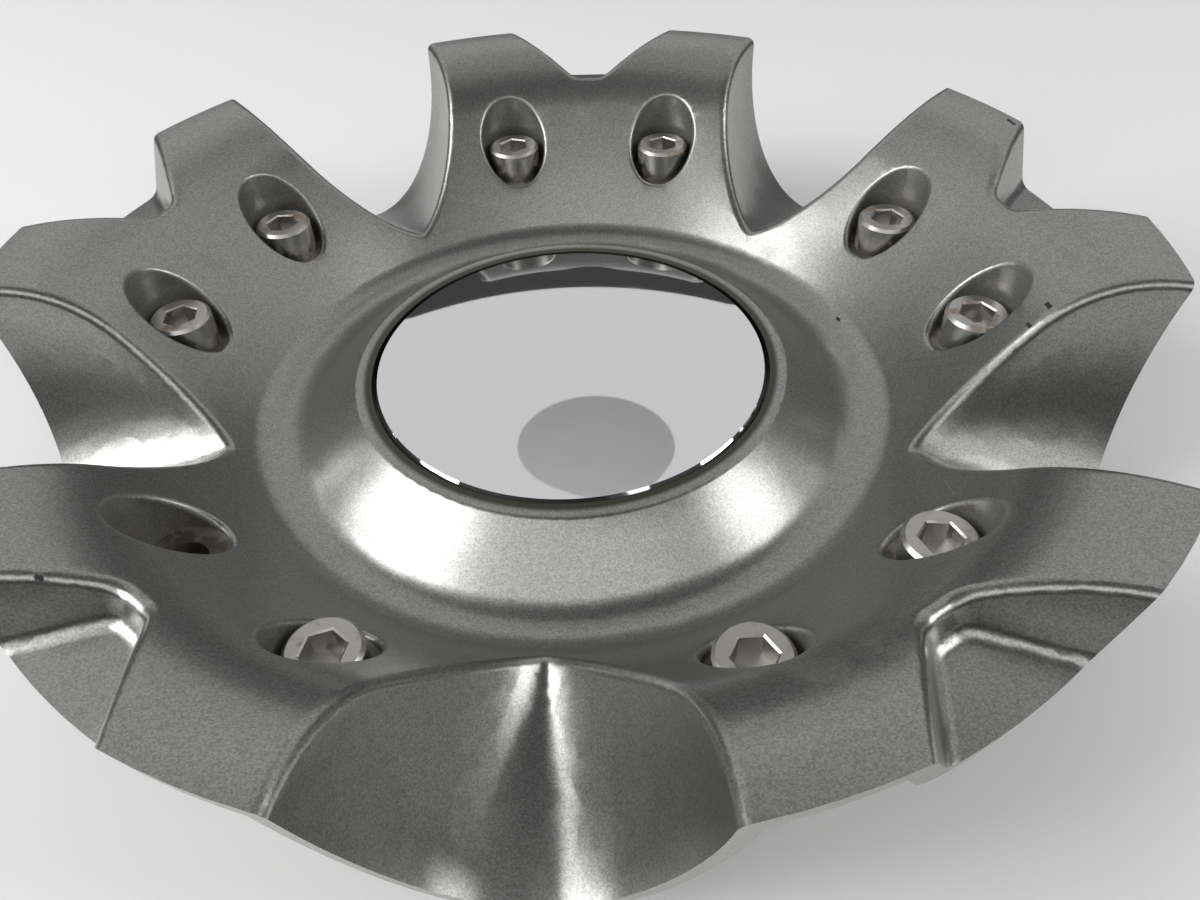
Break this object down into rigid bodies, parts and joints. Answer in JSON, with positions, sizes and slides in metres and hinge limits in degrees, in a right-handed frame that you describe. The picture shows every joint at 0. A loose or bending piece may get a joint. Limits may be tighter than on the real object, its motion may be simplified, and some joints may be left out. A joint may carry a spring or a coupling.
{
  "type": "wheel center cap",
  "caption": "Round dished wheel center cap with lobed spoke tips, scooped windows, a mirror disc in a raised hub and socket-head screws in pockets around it.",
  "frame": {"origin": "on the cap's axis, level with the ends of the screws", "axes": "+Z along the axis, out of the visible face; +Y towards a notch; -Y towards a window"},
  "size_m": [0.1804, 0.1762, 0.0395],
  "materials": {
    "metallic_paint": "moulded plastic in dark silver metallic paint with a clear coat",
    "mirror_disc": "mirror polished",
    "screw_steel": "bare steel, lightly stained"
  },
  "bodies": {
    "root": {"cap_body": "metallic_paint", "center_disc": "mirror_disc", "socket_screws": "screw_steel"}
  },
  "joints": []
}
